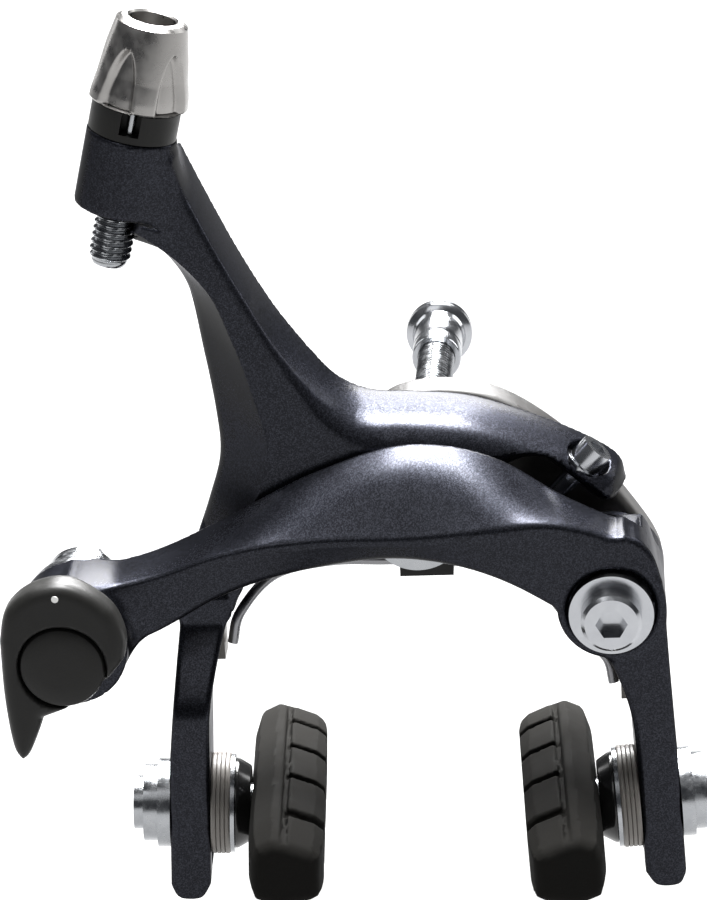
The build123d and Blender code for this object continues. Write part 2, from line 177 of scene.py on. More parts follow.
def field_values(field, axes):
    """The field on a grid, worked out only near its surface."""
    shape = [len(a) for a in axes]
    coarse = [a[::4] for a in axes]
    gx, gy, gz = np.meshgrid(*coarse, indexing="ij")
    rough = field(np.stack([gx.ravel(), gy.ravel(), gz.ravel()], 1)).reshape(gx.shape)
    step = axes[0][1] - axes[0][0]
    near = np.abs(rough) < step * 4 * 1.9
    full = rough.repeat(4, 0).repeat(4, 1).repeat(4, 2)[: shape[0], : shape[1], : shape[2]]
    mask = near.copy()
    for axis in range(3):
        for shift in (-1, 1):
            mask |= np.roll(near, shift, axis)
    mask = mask.repeat(4, 0).repeat(4, 1).repeat(4, 2)[: shape[0], : shape[1], : shape[2]]
    i, j, k = np.nonzero(mask)
    full = full.copy()
    full[i, j, k] = field(np.stack([axes[0][i], axes[1][j], axes[2][k]], 1))
    return full


def surface(field, low, high, step):
    """Vertices and quads of a field's zero surface, each vertex drawn onto it."""
    axes = [np.arange(a - 2 * step, b + 3 * step, step) for a, b in zip(low, high)]
    v = field_values(field, axes)
    inside = v < 0
    cells = sum(
        inside[i : i + v.shape[0] - 1, j : j + v.shape[1] - 1, k : k + v.shape[2] - 1].astype(np.int8)
        for i in (0, 1) for j in (0, 1) for k in (0, 1)
    )
    active = (cells > 0) & (cells < 8)
    number = np.full(active.shape, -1, np.int64)
    number[active] = np.arange(active.sum())
    i, j, k = np.nonzero(active)
    centre = np.stack([axes[0][i], axes[1][j], axes[2][k]], 1) + step / 2
    total, count = np.zeros_like(centre), np.zeros(len(centre))
    corners = [(a, b, c) for a in (0, 1) for b in (0, 1) for c in (0, 1)]
    for ca in corners:
        for cb in corners:
            if sum(np.abs(np.subtract(ca, cb))) != 1 or ca > cb:
                continue
            va, vb = v[i + ca[0], j + ca[1], k + ca[2]], v[i + cb[0], j + cb[1], k + cb[2]]
            hit = (va < 0) != (vb < 0)
            t = np.where(hit, va / np.where(hit, va - vb, 1), 0)
            where = np.array(ca) + t[:, None] * np.subtract(cb, ca) - 0.5
            total += np.where(hit[:, None], where, 0)
            count += hit
    verts = centre + step * total / np.maximum(count, 1)[:, None]
    faces = []
    for axis in range(3):
        a, b = [n for n in range(3) if n != axis]
        first = [slice(1, -1)] * 3
        first[axis] = slice(0, -1)
        second = list(first)
        second[axis] = slice(1, None)
        va, vb = inside[tuple(first)], inside[tuple(second)]
        for sign in (False, True):
            x = np.array(np.nonzero((va == sign) & (vb != sign)))
            x[a] += 1
            x[b] += 1
            da, db, none = (np.zeros((3, 1), int) for _ in range(3))
            da[a], db[b] = 1, 1
            quad = [number[tuple(x - back)] for back in (da + db, db, none, da)]
            flip = (not sign) != (axis == 1)
            faces.append(np.stack(quad[::-1] if flip else quad, 1))
    faces = np.vstack(faces)
    for _ in range(3):
        g = gradient(field, verts)
        length = np.maximum((g * g).sum(1), 0.05)
        move = g * (field(verts) / length)[:, None]
        move *= np.minimum(1, step * 0.6 / np.maximum(np.linalg.norm(move, axis=1), 1e-9))[:, None]
        verts = verts - move
    return verts, faces


def link(name, mesh):
    o = bpy.data.objects.new(name, mesh)
    bpy.context.scene.collection.objects.link(o)
    return o


def make(name, verts, faces, body, replaces=(), angle=35, normals=None):
    mesh = bpy.data.meshes.new(name)
    mesh.from_pydata((np.asarray(verts, float) * MM).tolist(), [], [list(f) for f in faces])
    mesh.update()
    mesh.polygons.foreach_set("use_smooth", [True] * len(mesh.polygons))
    if normals is None:
        mesh.set_sharp_from_angle(angle=math.radians(angle))
    else:
        mesh.normals_split_custom_set_from_vertices(normals.tolist())
    o = link(name, mesh)
    if body:
        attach(o, body)
    if replaces:
        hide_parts(*replaces)
    return o


def make_field(name, field, low, high, step, body, replaces=()):
    verts, faces = surface(field, low, high, step)
    g = gradient(field, verts)
    g /= np.maximum(np.linalg.norm(g, axis=1), 1e-9)[:, None]
    a, b, c = verts[faces[:, 0]], verts[faces[:, 1]], verts[faces[:, 2]]
    if (np.cross(b - a, c - a) * g[faces[:, 0]]).sum() < 0:
        faces = faces[:, ::-1]
    return make(name, verts, faces.tolist(), body, replaces, normals=g)


# ------------------------------------------------------------ turned parts
def basis(axis, side=(0, 0, 1)):
    a = np.array(axis, float) / np.linalg.norm(axis)
    u = np.cross(side, a)
    if np.linalg.norm(u) < 1e-3:
        u = np.cross((1, 0, 0), a)
    u /= np.linalg.norm(u)
    return u, np.cross(a, u), a


def turned_mesh(rings, origin, axis, n=96, closed=False):
    """Rings of (distance along the axis, radius), a radius being a number or one value per step round."""
    u, v, a = basis(axis)
    t = np.arange(n) * PI2 / n
    verts = []
    for s, r in rings:
        r = np.broadcast_to(np.asarray(r, float), (n,))
        verts.append(np.array(origin) + a * s + np.outer(r * np.cos(t), u) + np.outer(r * np.sin(t), v))
    verts = np.vstack(verts)
    m = len(rings)
    faces = []
    for i in range(m if closed else m - 1):
        j = (i + 1) % m
        for k in range(n):
            q = (k + 1) % n
            faces.append((i * n + k, i * n + q, j * n + q, j * n + k))
    if not closed:
        faces.append(tuple(range(n))[::-1])
        faces.append(tuple(range((m - 1) * n, m * n)))
    return verts, faces


def fix_winding(o):
    import bmesh

    b = bmesh.new()
    b.from_mesh(o.data)
    bmesh.ops.recalc_face_normals(b, faces=b.faces)
    b.to_mesh(o.data)
    b.free()


def turned(name, rings, origin, axis, body, replaces=(), n=96, closed=False, angle=35):
    verts, faces = turned_mesh(rings, origin, axis, n, closed)
    o = make(name, verts, faces, body, replaces, angle)
    fix_winding(o)
    o.data.set_sharp_from_angle(angle=math.radians(angle))
    return o


def soften(profile, r=0.25, steps=4):
    """Rounds every corner of a closed profile of (distance, radius) points."""
    p = np.array(profile, float)
    out = []
    for before, here, after in zip(np.roll(p, 1, 0), p, np.roll(p, -1, 0)):
        a, b = before - here, after - here
        la, lb = np.linalg.norm(a), np.linalg.norm(b)
        d = min(r, la * 0.45, lb * 0.45)
        a, b = here + a / la * d, here + b / lb * d
        for t in np.linspace(0, 1, steps):
            out.append(tuple((1 - t) ** 2 * a + 2 * t * (1 - t) * here + t**2 * b))
    return out


def hexagon(flats, n=96):
    t = np.arange(n) * PI2 / n
    return flats / 2 / np.cos((t + math.pi / 6) % (math.pi / 3) - math.pi / 6)


def thread_rings(s0, s1, r, pitch, depth, n=64, per=10):
    t = np.arange(n) / n
    rings = []
    for s in np.arange(s0, s1, pitch / per):
        wave = np.abs(((s / pitch - t) % 1) * 2 - 1)
        wave = np.clip(wave * 1.25 - 0.12, 0, 1)
        end = min(1, (s - s0) / pitch, (s1 - s) / pitch)
        rings.append((s, r - depth * (1 - wave * max(end, 0.05))))
    return rings


# ------------------------------------------------------------ materials
def node(tree, kind, **inputs):
    n = tree.nodes.new(kind)
    for key, value in inputs.items():
        n.inputs[key.replace("_", " ")].default_value = value
    return n


def ramp(tree, fac, low, high, a, b):
    n = tree.nodes.new("ShaderNodeMapRange")
    tree.links.new(fac, n.inputs["Value"])
    for key, value in (("From Min", low), ("From Max", high), ("To Min", a), ("To Max", b)):
        n.inputs[key].default_value = value
    return n.outputs["Result"]


def mix(tree, fac, a, b):
    n = tree.nodes.new("ShaderNodeMix")
    n.data_type = "RGBA"
    tree.links.new(fac, n.inputs["Factor"])
    n.inputs["A"].default_value = (*a, 1)
    n.inputs["B"].default_value = (*b, 1)
    return n.outputs["Result"]


def material(name, low, high, metallic, rough, grain=900, spread=0.08, bump=0.15, fine=6000, **extra):
    """Colour, roughness and bump vary over the surface at two scales."""
    m = bpy.data.materials.new(name)
    m.use_nodes = True
    t = m.node_tree
    shader = t.nodes["Principled BSDF"]
    shader.inputs["Metallic"].default_value = metallic
    for key, value in extra.items():
        shader.inputs[key.replace("_", " ")].default_value = value
    at = t.nodes.new("ShaderNodeTexCoord").outputs["Object"]
    wide = node(t, "ShaderNodeTexNoise", Scale=grain, Detail=4.0)
    close = node(t, "ShaderNodeTexNoise", Scale=fine, Detail=2.0)
    for n in (wide, close):
        t.links.new(at, n.inputs["Vector"])
    t.links.new(mix(t, wide.outputs["Fac"], low, high), shader.inputs["Base Color"])
    roughness = ramp(t, wide.outputs["Fac"], 0.3, 0.7, rough - spread, rough + spread)
    t.links.new(roughness, shader.inputs["Roughness"])
    b = node(t, "ShaderNodeBump", Strength=bump, Distance=0.00004)
    t.links.new(close.outputs["Fac"], b.inputs["Height"])
    t.links.new(b.outputs["Normal"], shader.inputs["Normal"])
    return m


def flake_paint(name, low, high, flake, size=6500, amount=0.35, rough=0.31):
    """Dark metallic paint under a clear coat, with separate bright flakes."""
    edge = (0.12, 0.12, 0.15, 1)
    m = material(
        name, low, high, 0.85, rough, 140, 0.03, 0.04, 9000,
        Specular_Tint=edge, Coat_Weight=0.1, Coat_Roughness=0.22,
    )
    t = m.node_tree
    shader = t.nodes["Principled BSDF"]
    cells = node(t, "ShaderNodeTexVoronoi", Scale=size)
    t.links.new(t.nodes["Texture Coordinate"].outputs["Object"], cells.inputs["Vector"])
    bright = ramp(t, cells.outputs["Color"], amount, 1.0, 0.0, 1.0)
    n = t.nodes.new("ShaderNodeMix")
    n.data_type = "RGBA"
    t.links.new(bright, n.inputs["Factor"])
    t.links.new(shader.inputs["Base Color"].links[0].from_socket, n.inputs["A"])
    n.inputs["B"].default_value = (*flake, 1)
    t.links.new(n.outputs["Result"], shader.inputs["Base Color"])
    return m


LOOKS = {
    "arm_paint": flake_paint(
        "arm_paint", (0.0085, 0.009, 0.0115), (0.013, 0.0138, 0.0175), (0.036, 0.038, 0.048)
    ),
    "bracket_black": material(
        "bracket_black", (0.016, 0.015, 0.0145), (0.026, 0.025, 0.024), 0.4, 0.42, 500, 0.06, 0.2
    ),
    "steel": material("steel", (0.27, 0.28, 0.295), (0.42, 0.43, 0.445), 1.0, 0.24, 700, 0.09, 0.1),
    "satin_steel": material(
        "satin_steel", (0.25, 0.243, 0.235), (0.37, 0.36, 0.35), 1.0, 0.3, 500, 0.07, 0.12
    ),
    "chrome": material("chrome", (0.34, 0.35, 0.37), (0.46, 0.47, 0.49), 1.0, 0.2, 500, 0.05, 0.05),
    "bronze": material("bronze", (0.4, 0.26, 0.1), (0.55, 0.38, 0.16), 1.0, 0.35, 600, 0.08, 0.15),
    "black_plastic": material(
        "black_plastic", (0.006, 0.006, 0.0056), (0.0098, 0.0096, 0.009), 0.0, 0.42, 350, 0.06, 0.35,
        Specular_IOR_Level=0.2,
    ),
    "gloss_plastic": material(
        "gloss_plastic", (0.006, 0.006, 0.006), (0.01, 0.01, 0.01), 0.0, 0.2, 350, 0.05, 0.1
    ),
    "grey_plastic": material(
        "grey_plastic", (0.13, 0.12, 0.11), (0.2, 0.185, 0.17), 0.0, 0.42, 600, 0.08, 0.25
    ),
    "white_plastic": material(
        "white_plastic", (0.72, 0.72, 0.7), (0.85, 0.85, 0.83), 0.0, 0.4, 900, 0.05, 0.1
    ),
    "rubber": material(
        "rubber", (0.005, 0.0048, 0.0044), (0.01, 0.0096, 0.0088), 0.0, 0.8, 420, 0.08, 0.5, 4200,
        Specular_IOR_Level=0.04,
    ),
    "spring_steel": material(
        "spring_steel", (0.16, 0.16, 0.17), (0.28, 0.28, 0.29), 1.0, 0.32, 900, 0.08, 0.15
    ),
}


def dress(o, look):
    o.data.materials.clear()
    o.data.materials.append(LOOKS[look])


for part in frame["record"]["subparts"]:
    for slot in bpy.data.objects[part["node"]].material_slots:
        slot.material = LOOKS[part["material_slot"]]


# ------------------------------------------------------------ shared places, mm
YAW = 3.2
SHOE_Y, SHOE_Z, LEG_HALF = -20.0, -43.0, 3.0
PIVOT = (28.0, -10.0)
LEVER_AXIS = (-50.0, -11.0)
ADJUSTER = np.array((-38.5, -16.0, 55.0))
ADJUSTER_AXIS = np.array((math.sin(math.radians(14.5)), 0, math.cos(math.radians(14.5))))
SCREW_TIP = np.array((19.6, -13.5, 2.2))
SCREW_AXIS = np.array((math.cos(math.radians(48)), 0, math.sin(math.radians(48))))


def turn_z(v, degrees=YAW):
    c, s = math.cos(math.radians(degrees)), math.sin(math.radians(degrees))
    return np.array((c * v[0] - s * v[1], s * v[0] + c * v[1], v[2]))


LEGS = {}
for side, x, lean, sign in (("right", 34.1, 2.5, 1), ("left", -35.7, 3.5, -1)):
    c, s = math.cos(math.radians(lean)), math.sin(math.radians(lean))
    LEGS[side] = {
        "origin": np.array((x, SHOE_Y, SHOE_Z)),
        "out": turn_z((sign * c, 0, s)),
        "down": turn_z((sign * s, 0, -c)),
        "back": turn_z((0, 1, 0)),
        "edge": lambda z, off, x=x, sl=sign * s / c, c=c: (x + (SHOE_Z - z) * sl + off / c, z),
    }


def slot_distance(p, side):
    """The shoe slot: a flat-sided hole through the leg."""
    leg = LEGS[side]
    w = p - leg["origin"]
    down = w @ leg["down"]
    down = down - np.clip(down, 0, 7)
    return np.hypot(down, w @ leg["back"]) - 3.2


def on_leg_plane(p):
    """x as it is in the leg's middle plane, which the yawed sides run back from."""
    return p[:, 0] + (p[:, 1] - SHOE_Y) * math.tan(math.radians(YAW))


def cut(a, b, k=0.5):
    return smax(a, -b, k)


# ------------------------------------------------------------ rear arm
Y_SILHOUETTE = [
    (-39.6, 45.6), (-35, 41.2), (-31.8, 36), (-30.2, 26), (-29, 16), (-28.9, 9), (-31, 2), (-33.9, -6),
]
Y_EDGE = [
    (-38.6, 47.6), (-33, 43.4), (-28.4, 38.4), (-24.8, 30), (-22.2, 21), (-20.8, 14), (-22.4, 7),
    (-26, 0), (-28, -6),
]
Y_OUTLINE = outline(
    Y_SILHOUETTE + [(-35.0, -12)],
    [(-35.0, -12), (-27.5, -12)],
    [(-27.5, -12), (-26.4, -9.5), (-22, -5.6), (-15, -4.2), (-6, -4)],
    [(-6, -4), (-1, -4.2), (2, -5)],
    [(2, -5), (8, 1.5), (13, 6.6), (18, 8.2), (22, 5), (26, 1.6), (29, 1.3), (30.6, 3.4)],
    [
        (30.6, 3.4), (29.4, 7), (24, 10.6), (16, 14.2), (8, 16.9), (0, 17.8), (-6, 18.2),
        (-11, 20.6), (-15, 25.2),
    ],
    [(-15, 25.2), (-19.5, 31.8), (-24, 40.2), (-28, 49), (-31.4, 57)],
    [(-31.4, 57), (-39.6, 45.6)],
)
Y_LEG = outline(
    [(-35.0, -11), (-35.9, -17), (-36.6, -22), (-37.4, -28), LEGS["left"]["edge"](-34, -LEG_HALF)],
    [LEGS["left"]["edge"](-34, -LEG_HALF), LEGS["left"]["edge"](-53.6, -LEG_HALF)],
    [
        LEGS["left"]["edge"](-53.6, -LEG_HALF), (-38.2, -55.7), (-35, -55.8),
        LEGS["left"]["edge"](-53.6, LEG_HALF),
    ],
    [LEGS["left"]["edge"](-53.6, LEG_HALF), LEGS["left"]["edge"](-34, LEG_HALF)],
    [LEGS["left"]["edge"](-34, LEG_HALF), (-31.6, -26), (-30.4, -20), (-28.2, -13), (-26.5, -9)],
    [(-26.5, -9), (-35.0, -11)],
)


def rows(points):
    """Design points as rising z with their x, for lines that climb."""
    p = np.array(sorted(points, key=lambda q: q[1]), float)
    return p[:, 1], p[:, 0]


def y_front(x, z):
    """Where the arm's front surface lies: a flat face with one wide bevel down its left side."""
    left = smooth_interp(z, *rows(Y_SILHOUETTE))
    edge = smooth_interp(z, *rows(Y_EDGE))
    t = np.clip((x - left) / np.maximum(edge - left, 1), 0, 1)
    t = np.maximum(t, np.clip((z - 41) / 6, 0, 1))
    t = np.maximum(t, np.clip((-1 - z) / 9, 0, 1))
    return -10.2 - 8.4 * t


def y_arm_field(p):
    x, y, z = p.T
    depth = np.clip((-8.1 - y) / 10.5, 0, 1)
    shrink = np.interp(x, [-22, -8], [0.9, 3.2]) * depth**2.0
    flat = poly_distance(x, z, Y_OUTLINE)
    on_left = x < smooth_interp(z, *rows(Y_EDGE))
    body = smax(flat + np.where(on_left, 0.0, shrink), y + 8.1, 0.5)
    soft = np.interp(x, [-19, -4], [1.1, 3.6])
    body = np.where(x < -4, smax(body, y_front(x, z) - y, soft), smax(body, -18.6 - y, soft))
    leg = poly_distance(on_leg_plane(p), z, Y_LEG)
    u = np.clip((z + 27) / 16, 0, 1)
    front = -26.9 + 8.3 * u * u * (3 - 2 * u)
    leg = smax(smax(leg, y + 13, 0.5), front - y, 0.9)
    body = smin(body, leg, 3.0)
    body = smin(body, rod_distance(p, ADJUSTER, ADJUSTER_AXIS, 6.4, -5.2, 6.2, 0.5), 3.5)
    body = smin(body, y_rod(p, 0, 0, 7.5, -16.6, -8.1), 0.8)
    body = cut(body, y_rod(p, 0, 0, 9.2, -22, -16.6))
    body = cut(body, rod_distance(p, ADJUSTER, ADJUSTER_AXIS, 3.05, -20, 20), 0.3)
    body = cut(body, y_rod(p, 0, 0, 5.55, -20, 0), 0.3)
    body = cut(body, slot_distance(p, "left"), 0.4)
    body = cut(body, rod_distance(p, SCREW_TIP, SCREW_AXIS, 3.3, 6.45, 20), 0.3)
    body = cut(body, rod_distance(p, SCREW_TIP, SCREW_AXIS, 1.55, -4, 12), 0.2)
    return cut(body, box_distance(p, (-30.9, -17.4, -20.6), (-29.3, -13.2, -15.4)), 0.2)


# ------------------------------------------------------------ front arm
C_X = [-49, -38, -28, -14, 0, 12, 21, 29]
C_POINTS = [
    (
        (-20.9, -3.2), (-20.4, -0.8), (-19.8, 3.6), (-19.5, 10.3),
        (-19.5, 14.2), (-19.5, 11.8), (-19.5, 6.2), (-19.5, 1.8),
    ),
    (
        (-25, -2.6), (-24.5, -0.4), (-24, 3.4), (-23.6, 9.4),
        (-23.8, 12.6), (-24, 10.4), (-23.6, 6), (-23, 2.4),
    ),
    (
        (-30.4, -3.2), (-29.5, -1.6), (-29.4, 1.4), (-29.8, 3),
        (-30.2, 3), (-30.2, 4.2), (-28.4, 4.4), (-26.6, 1.4),
    ),
    (
        (-30.4, -14.5), (-28.5, -11.3), (-27.3, -6.3), (-27.2, -2.2),
        (-27.4, -1.2), (-27.4, -4.6), (-26.6, -10.4), (-26.2, -16.5),
    ),
    (
        (-21.2, -14.5), (-20.8, -10.6), (-20.3, -5.6), (-19.8, -1.6),
        (-19.8, -0.8), (-19.8, -4.2), (-19.8, -10.4), (-19.8, -16.5),
    ),
]
C_SOFT = (1.5, 3.2, 1.0, 1.4, 0.8)
C_LEG = outline(
    [(24, -2), (28, 0.8), (31.4, 0.9), (33.8, -1.8), (35.1, -6)],
    [(35.1, -6), (35.5, -12), (35.9, -20), LEGS["right"]["edge"](-34, LEG_HALF)],
    [LEGS["right"]["edge"](-34, LEG_HALF), LEGS["right"]["edge"](-53.2, LEG_HALF)],
    [
        LEGS["right"]["edge"](-53.2, LEG_HALF), (36.4, -55.2), (33.2, -55.3),
        LEGS["right"]["edge"](-53.2, -LEG_HALF),
    ],
    [LEGS["right"]["edge"](-53.2, -LEG_HALF), LEGS["right"]["edge"](-34, -LEG_HALF)],
    [LEGS["right"]["edge"](-34, -LEG_HALF), (30.2, -28), (28.8, -22.5), (26.2, -16.5), (22, -11)],
    [(22, -11), (24, -2)],
)
TAB = np.array([(14, -6), (14, 2.4), (15, 3.1), (22.4, 0.5), (23.5, -6)])
PAD_SEAT = (np.array((18.2, -13.5, 1.17)), math.radians(19.25))


def c_bar(p):
    """The arched bar: five faces between lines that run along its length."""
    x, y, z = p.T
    corners = [tuple(smooth_interp(x, C_X, values) for values in zip(*line)) for line in C_POINTS]
    out = None
    for i, ((ay, az), (by, bz)) in enumerate(zip(corners, corners[1:] + corners[:1])):
        ey, ez = by - ay, bz - az
        n = np.hypot(ey, ez)
        d = ((y - ay) * ez - (z - az) * ey) / n
        out = d if out is None else smax(out, d, C_SOFT[i])
    return smax(smax(out, -49 - x, 0.5), x - 30, 0.5)


def c_arm_field(p):
    x, y, z = p.T
    body = c_bar(p)
    leg = poly_distance(on_leg_plane(p), z, C_LEG)
    leg = smax(smax(leg, y + 13, 0.5), -26.4 - y, 1.0)
    leg = cut(leg, box_distance(p, (18, -19, -0.6), (32.2, -8, 7)), 0.8)
    body = smin(body, leg, 1.5)
    body = smin(body, smax(poly_distance(x, z, TAB), np.abs(y + 16.25) - 5.75, 0.4), 0.6)
    body = smin(body, y_rod(p, *LEVER_AXIS, 8.6, -33.6, -21, 0.5), 3.0)
    body = smin(body, y_rod(p, *PIVOT, 7.8, -26.2, -8.1, 0.6), 0.8)
    body = cut(body, y_rod(p, 0, 0, 8.2, -21.2, -5))
    body = cut(body, y_rod(p, *LEVER_AXIS, 8.65, -21, -5), 0.4)
    body = cut(body, y_rod(p, *PIVOT, 6.5, -45, -25.6), 0.7)
    body = cut(body, y_rod(p, *PIVOT, 5.05, -45, 5), 0.3)
    body = cut(body, y_rod(p, *LEVER_AXIS, 5.05, -45, -5), 0.3)
    centre, slope = PAD_SEAT
    w = p - centre
    c, s = math.cos(slope), math.sin(slope)
    local = np.stack([w[:, 0] * c - w[:, 2] * s, w[:, 1], w[:, 0] * s + w[:, 2] * c], 1)
    body = cut(body, box_distance(local, (-2.95, -2.55, -1.25), (2.95, 2.55, 1.25), 0.1), 0.15)
    body = cut(body, box_distance(p, (28.95, -17.4, -28.6), (30.6, -13.2, -23.6), 0.2), 0.2)
    return cut(body, slot_distance(p, "right"), 0.4)


STEP = 0.5


def arms():
    for name, field, body, node in (
        ("rear_arm_casting", y_arm_field, "rear_arm", "y_arm"),
        ("front_arm_casting", c_arm_field, "front_arm", "c_arm"),
    ):
        low, high = box_mm(node)
        o = make_field(name, field, low, high, STEP, body, (node,))
        dress(o, "arm_paint")


arms()


# ------------------------------------------------------------ shoes
SHOE_SECTION = np.array([
    (-20, -3.8), (-20, 3.6), (-18.6, 4.8), (-14.4, 6.3), (-12.4, 6.6), (-9.7, 5.2),
    (-8.95, 2.5), (-8.95, -2.5), (-9.6, -4.6), (-13.5, -6), (-18.4, -4.8),
])
RIM_R = 300.0


def shoe_field(side):
    leg = LEGS[side]

    def field(p):
        w = p - leg["origin"]
        x, y, z = w @ leg["out"], w @ leg["back"], -(w @ leg["down"])
        high = np.hypot(y, z + RIM_R) - RIM_R
        along = np.arctan2(y, z + RIM_R) * RIM_R
        body = poly_distance(x, high, SHOE_SECTION) + 0.25
        taper = np.clip((np.abs(along - 1) - 16) / 7, 0, 1) ** 2 * 0.9
        body = smax(body + taper, np.abs(along - 1) - 22.75, 1.6) - 0.25
        seam = smax(np.abs(x + 14.2) - 0.4, -poly_distance(x, high, SHOE_SECTION) - 0.7, 0.2)
        body = cut(body, seam, 0.5)
        for y0 in (-2.5, 7.3, 16.2):
            slit = smax(np.abs(along - y0) - 0.6, x + 14.2, 0.3)
            body = cut(body, smax(slit, -poly_distance(x, high, SHOE_SECTION) - 1.1, 0.3), 0.3)
        step = smax(np.abs(along + 13.4) - 0.9, x + 14.2, 0.3)
        body = cut(body, smax(step, -poly_distance(x, high, SHOE_SECTION) - 1.3, 0.3), 0.5)
        bore = smax(np.hypot(y, z) - 3.05, -14.6 - x, 0.2)
        return cut(body, bore, 0.2)

    return field


def shoes():
    for side in LEGS:
        low, high = box_mm(side + "_shoe")
        shoe_body = side + "_shoe_body"
        o = make_field(
            side + "_brake_shoe", shoe_field(side), low, high, STEP, shoe_body, (side + "_shoe",)
        )
        dress(o, "rubber")
        leg = LEGS[side]
        profile = [(-5.85, 3.12), (-5.85, 7.4), (-5.6, 7.6)]
        for s in (-5.1, -4.45, -3.8):
            profile += [(s - 0.1, 7.6), (s, 7.4), (s + 0.1, 7.6)]
        profile += [(-3.3, 7.6), (-3.05, 7.4), (-3.05, 3.12)]
        o = turned(
            side + "_spacer", profile, leg["origin"], leg["out"], side + "_carrier",
            (side + "_inner_spacer",), closed=True,
        )
        dress(o, "grey_plastic")
        profile = soften([(-6.55, 3.12), (-6.55, 6.8), (-7.0, 6.75), (-8.9, 5.6), (-8.9, 3.12)], 0.3)
        o = turned(
            side + "_dished_seat", profile, leg["origin"], leg["out"], shoe_body,
            (side + "_dished_washer",), closed=True,
        )
        dress(o, "gloss_plastic")


# ------------------------------------------------------------ bolts and nuts
def mounting():
    rings = [(-20.4, 2.5), (-19.9, 3), (-16.7, 3), (-16.7, 4), (-1.65, 4), (-1.65, 3), (23.5, 3)]
    rings += thread_rings(24, 57.4, 3, 1.0, 0.5) + [(58, 2.3)]
    o = turned(
        "mounting_bolt_threaded", rings, (0, 0, 0), (0, 1, 0), "mount", ("mounting_bolt",),
        n=64, angle=50,
    )
    dress(o, "steel")
    flats = hexagon(5.0)
    profile = [(51, 3.08), (51, 3.8), (51.3, 4), (54.2, 4), (54.4, 3.8), (54.7, 3.8), (54.9, 4)]
    profile += [(60.6, 4), (60.9, 4.1), (61.6, 4.4), (62, 5.2), (62.3, 5.45), (63.0, 5.45)]
    profile += [(63.1, 5.3), (63.25, 5.3), (63.35, 5.45), (63.9, 5.45), (64.2, 5.15), (64.2, 3.5)]
    profile += [(63.8, flats + 0.25), (63.5, flats), (58.8, flats), (58.6, 3.08)]
    o = turned(
        "sleeve_nut_stepped", profile, (0, 0, 0), (0, 1, 0), "mount", ("sleeve_nut",), closed=True
    )
    dress(o, "chrome")


def flutes(s, n):
    """How deep five arched flutes cut the barrel at one height."""
    t = np.arange(n) * PI2 / n
    turn = np.abs(((t / PI2 * 5 + 0.32) % 1) - 0.5) * 72
    height = (s - 10.5) / 8.8
    half = 25 * math.sqrt(max(1 - max(height, 0) ** 2.2, 0)) if height < 1 else 0
    if half < 1:
        return np.zeros(n)
    edge = np.clip((half - turn) / 9, 0, 1)
    return 1.15 * edge * edge * (3 - 2 * edge)


def adjuster():
    n = 240
    rings = [(10.6, 3.12), (10.6, 6.5), (10.75, 6.9 - flutes(10.8, n))]
    for s in np.linspace(11, 22.4, 46):
        u = (s - 11) / 11.4
        rings.append((s, 7.1 - 0.3 * min(u * 3, 1) - 2.0 * max(u - 0.1, 0) ** 1.25 - flutes(s, n)))
    rings += [(22.8, 4.5), (23, 4.15), (23, 3.65), (22.7, 3.35), (15.2, 3.3), (15, 3.12)]
    o = turned(
        "barrel_fluted", rings, ADJUSTER, ADJUSTER_AXIS, "barrel", ("barrel_nut",),
        n=n, closed=True, angle=40,
    )
    dress(o, "satin_steel")
    rings = [(-13.8, 1.1), (-13.8, 2.3)] + thread_rings(-13.4, 13.5, 3, 1.0, 0.5) + [(13.7, 2.4), (13.7, 1.1)]
    o = turned(
        "adjusting_bolt_threaded", rings, ADJUSTER, ADJUSTER_AXIS, "adjuster", ("adjusting_bolt",),
        n=64, closed=True, angle=50,
    )
    dress(o, "steel")


# ------------------------------------------------------------ bracket, lever and spring
BRACKET = outline(
    [(-9, -1), (-8.6, 8), (-5, 15), (1, 17.3), (8, 17), (14, 14.8), (20, 10.6), (26, 5)],
    [(26, 5), (30.5, -1), (34.6, -7.5), (35.6, -12), (34.2, -17), (30, -19.3)],
    [(30, -19.3), (25, -18.4), (18, -13), (11, -9.6), (4, -8.6), (-4, -8), (-9, -1)],
)
LEVER = outline(
    [
        (-41.2, -10.4), (-40.8, -7), (-42.4, -2.6), (-46.4, 0.8), (-50, 1.8), (-54.4, 0.6),
        (-57.6, -2.4), (-58.8, -7),
    ],
    [(-58.8, -7), (-58.9, -16), (-58.3, -23.4), (-57.2, -26)],
    [(-57.2, -26), (-56, -25), (-54.4, -21.6), (-53.5, -19.2)],
    [(-53.5, -19.2), (-49, -17.4), (-44.7, -14.4), (-41.2, -10.4)],
)


def bracket_field(p):
    body = slab_distance(p, BRACKET, -7.6, -1.6, 1.3)
    body = cut(body, y_rod(p, 0, 0, 4.05, -20, 10), 0.2)
    return cut(body, y_rod(p, *PIVOT, 3.05, -20, 10), 0.2)


def lever_field(p):
    body = smax(poly_distance(p[:, 0], p[:, 2], LEVER), np.abs(p[:, 1] + 36.8) - 2.8, 2.2)
    return cut(body, y_rod(p, *LEVER_AXIS, 6.35, -45, -37.4), 0.5)


def bodywork():
    low, high = box_mm("pivot_bracket")
    o = make_field(
        "bracket_plate", bracket_field, low, high, STEP, "mount", ("pivot_bracket",)
    )
    dress(o, "bracket_black")
    low, high = box_mm("qr_lever")
    o = make_field(
        "release_lever", lever_field, low, high, STEP, "quick_release", ("qr_lever",)
    )
    dress(o, "black_plastic")
    cap = [(-39.9, 0.01), (-39.88, 3), (-39.75, 5), (-39.4, 5.85), (-39.0, 6.1), (-37.5, 6.1), (-37.5, 0.01)]
    centre = (LEVER_AXIS[0], 0, LEVER_AXIS[1])
    o = turned("release_cap", cap, centre, (0, 1, 0), "quick_release", ("qr_cap",))
    dress(o, "black_plastic")


